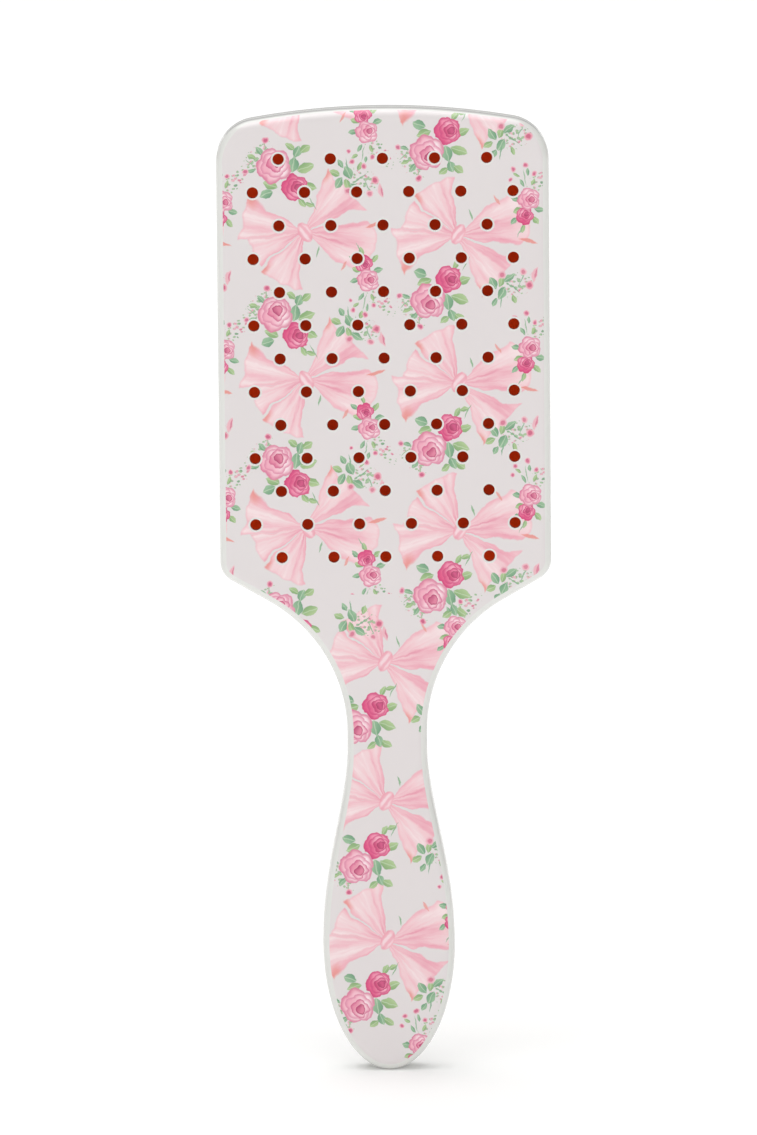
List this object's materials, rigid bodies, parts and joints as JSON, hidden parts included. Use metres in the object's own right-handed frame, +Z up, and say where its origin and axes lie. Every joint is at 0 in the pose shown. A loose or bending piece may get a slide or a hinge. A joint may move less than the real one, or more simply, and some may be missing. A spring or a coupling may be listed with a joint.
{
  "type": "vanity hairbrush",
  "caption": "Square-headed paddle hairbrush with a vented, printed back, a sprung rubber pad and ball-tipped pins in rocking columns.",
  "frame": {"origin": "level with the end of the handle, on the centre line, midway between the flat back and the pin tips", "axes": "+Z up the handle to the head, -Y out of the flat vented back, +Y along the pins, +X to the right seen from behind"},
  "size_m": [0.0896, 0.038, 0.2626],
  "materials": {
    "printed_shell": "white gloss with a pink floral print",
    "white_shell": "gloss",
    "pad_rubber": "satin",
    "ring_plastic": "matte",
    "pin_nylon": "satin"
  },
  "bodies": {
    "body": {"back_shell": "printed_shell", "front_shell": "white_shell", "cushion_retainer": "ring_plastic"},
    "pad": {"cushion": "pad_rubber"},
    "pin_strip_01": {"pin_strip_01": "pin_nylon"},
    "pin_strip_02": {"pin_strip_02": "pin_nylon"},
    "pin_strip_03": {"pin_strip_03": "pin_nylon"},
    "pin_strip_04": {"pin_strip_04": "pin_nylon"},
    "pin_strip_05": {"pin_strip_05": "pin_nylon"},
    "pin_strip_06": {"pin_strip_06": "pin_nylon"},
    "pin_strip_07": {"pin_strip_07": "pin_nylon"},
    "pin_strip_08": {"pin_strip_08": "pin_nylon"},
    "pin_strip_09": {"pin_strip_09": "pin_nylon"},
    "pin_strip_10": {"pin_strip_10": "pin_nylon"}
  },
  "joints": [
    {"name": "pad_press", "type": "slide", "parent": "body", "child": "pad", "axis": [0, -1, 0], "range_m": [0, 0.004], "stiffness_N_per_m": 3000, "deforming": ["cushion"]},
    {"name": "pin_strip_01_rock", "type": "hinge", "parent": "pad", "child": "pin_strip_01", "pos_m": [-0.0315, -0.0008, 0.1952], "axis": [0, 0, 1], "range_deg": [-12, 12], "stiffness_Nm_per_rad": 0.25},
    {"name": "pin_strip_02_rock", "type": "hinge", "parent": "pad", "child": "pin_strip_02", "pos_m": [-0.0245, -0.0008, 0.1952], "axis": [0, 0, 1], "range_deg": [-12, 12], "stiffness_Nm_per_rad": 0.25},
    {"name": "pin_strip_03_rock", "type": "hinge", "parent": "pad", "child": "pin_strip_03", "pos_m": [-0.0175, -0.0008, 0.1952], "axis": [0, 0, 1], "range_deg": [-12, 12], "stiffness_Nm_per_rad": 0.25},
    {"name": "pin_strip_04_rock", "type": "hinge", "parent": "pad", "child": "pin_strip_04", "pos_m": [-0.0105, -0.0008, 0.1952], "axis": [0, 0, 1], "range_deg": [-12, 12], "stiffness_Nm_per_rad": 0.25},
    {"name": "pin_strip_05_rock", "type": "hinge", "parent": "pad", "child": "pin_strip_05", "pos_m": [-0.0035, -0.0008, 0.1952], "axis": [0, 0, 1], "range_deg": [-12, 12], "stiffness_Nm_per_rad": 0.25},
    {"name": "pin_strip_06_rock", "type": "hinge", "parent": "pad", "child": "pin_strip_06", "pos_m": [0.0035, -0.0008, 0.1952], "axis": [0, 0, 1], "range_deg": [-12, 12], "stiffness_Nm_per_rad": 0.25},
    {"name": "pin_strip_07_rock", "type": "hinge", "parent": "pad", "child": "pin_strip_07", "pos_m": [0.0105, -0.0008, 0.1952], "axis": [0, 0, 1], "range_deg": [-12, 12], "stiffness_Nm_per_rad": 0.25},
    {"name": "pin_strip_08_rock", "type": "hinge", "parent": "pad", "child": "pin_strip_08", "pos_m": [0.0175, -0.0008, 0.1952], "axis": [0, 0, 1], "range_deg": [-12, 12], "stiffness_Nm_per_rad": 0.25},
    {"name": "pin_strip_09_rock", "type": "hinge", "parent": "pad", "child": "pin_strip_09", "pos_m": [0.0245, -0.0008, 0.1952], "axis": [0, 0, 1], "range_deg": [-12, 12], "stiffness_Nm_per_rad": 0.25},
    {"name": "pin_strip_10_rock", "type": "hinge", "parent": "pad", "child": "pin_strip_10", "pos_m": [0.0315, -0.0008, 0.1952], "axis": [0, 0, 1], "range_deg": [-12, 12], "stiffness_Nm_per_rad": 0.25}
  ]
}
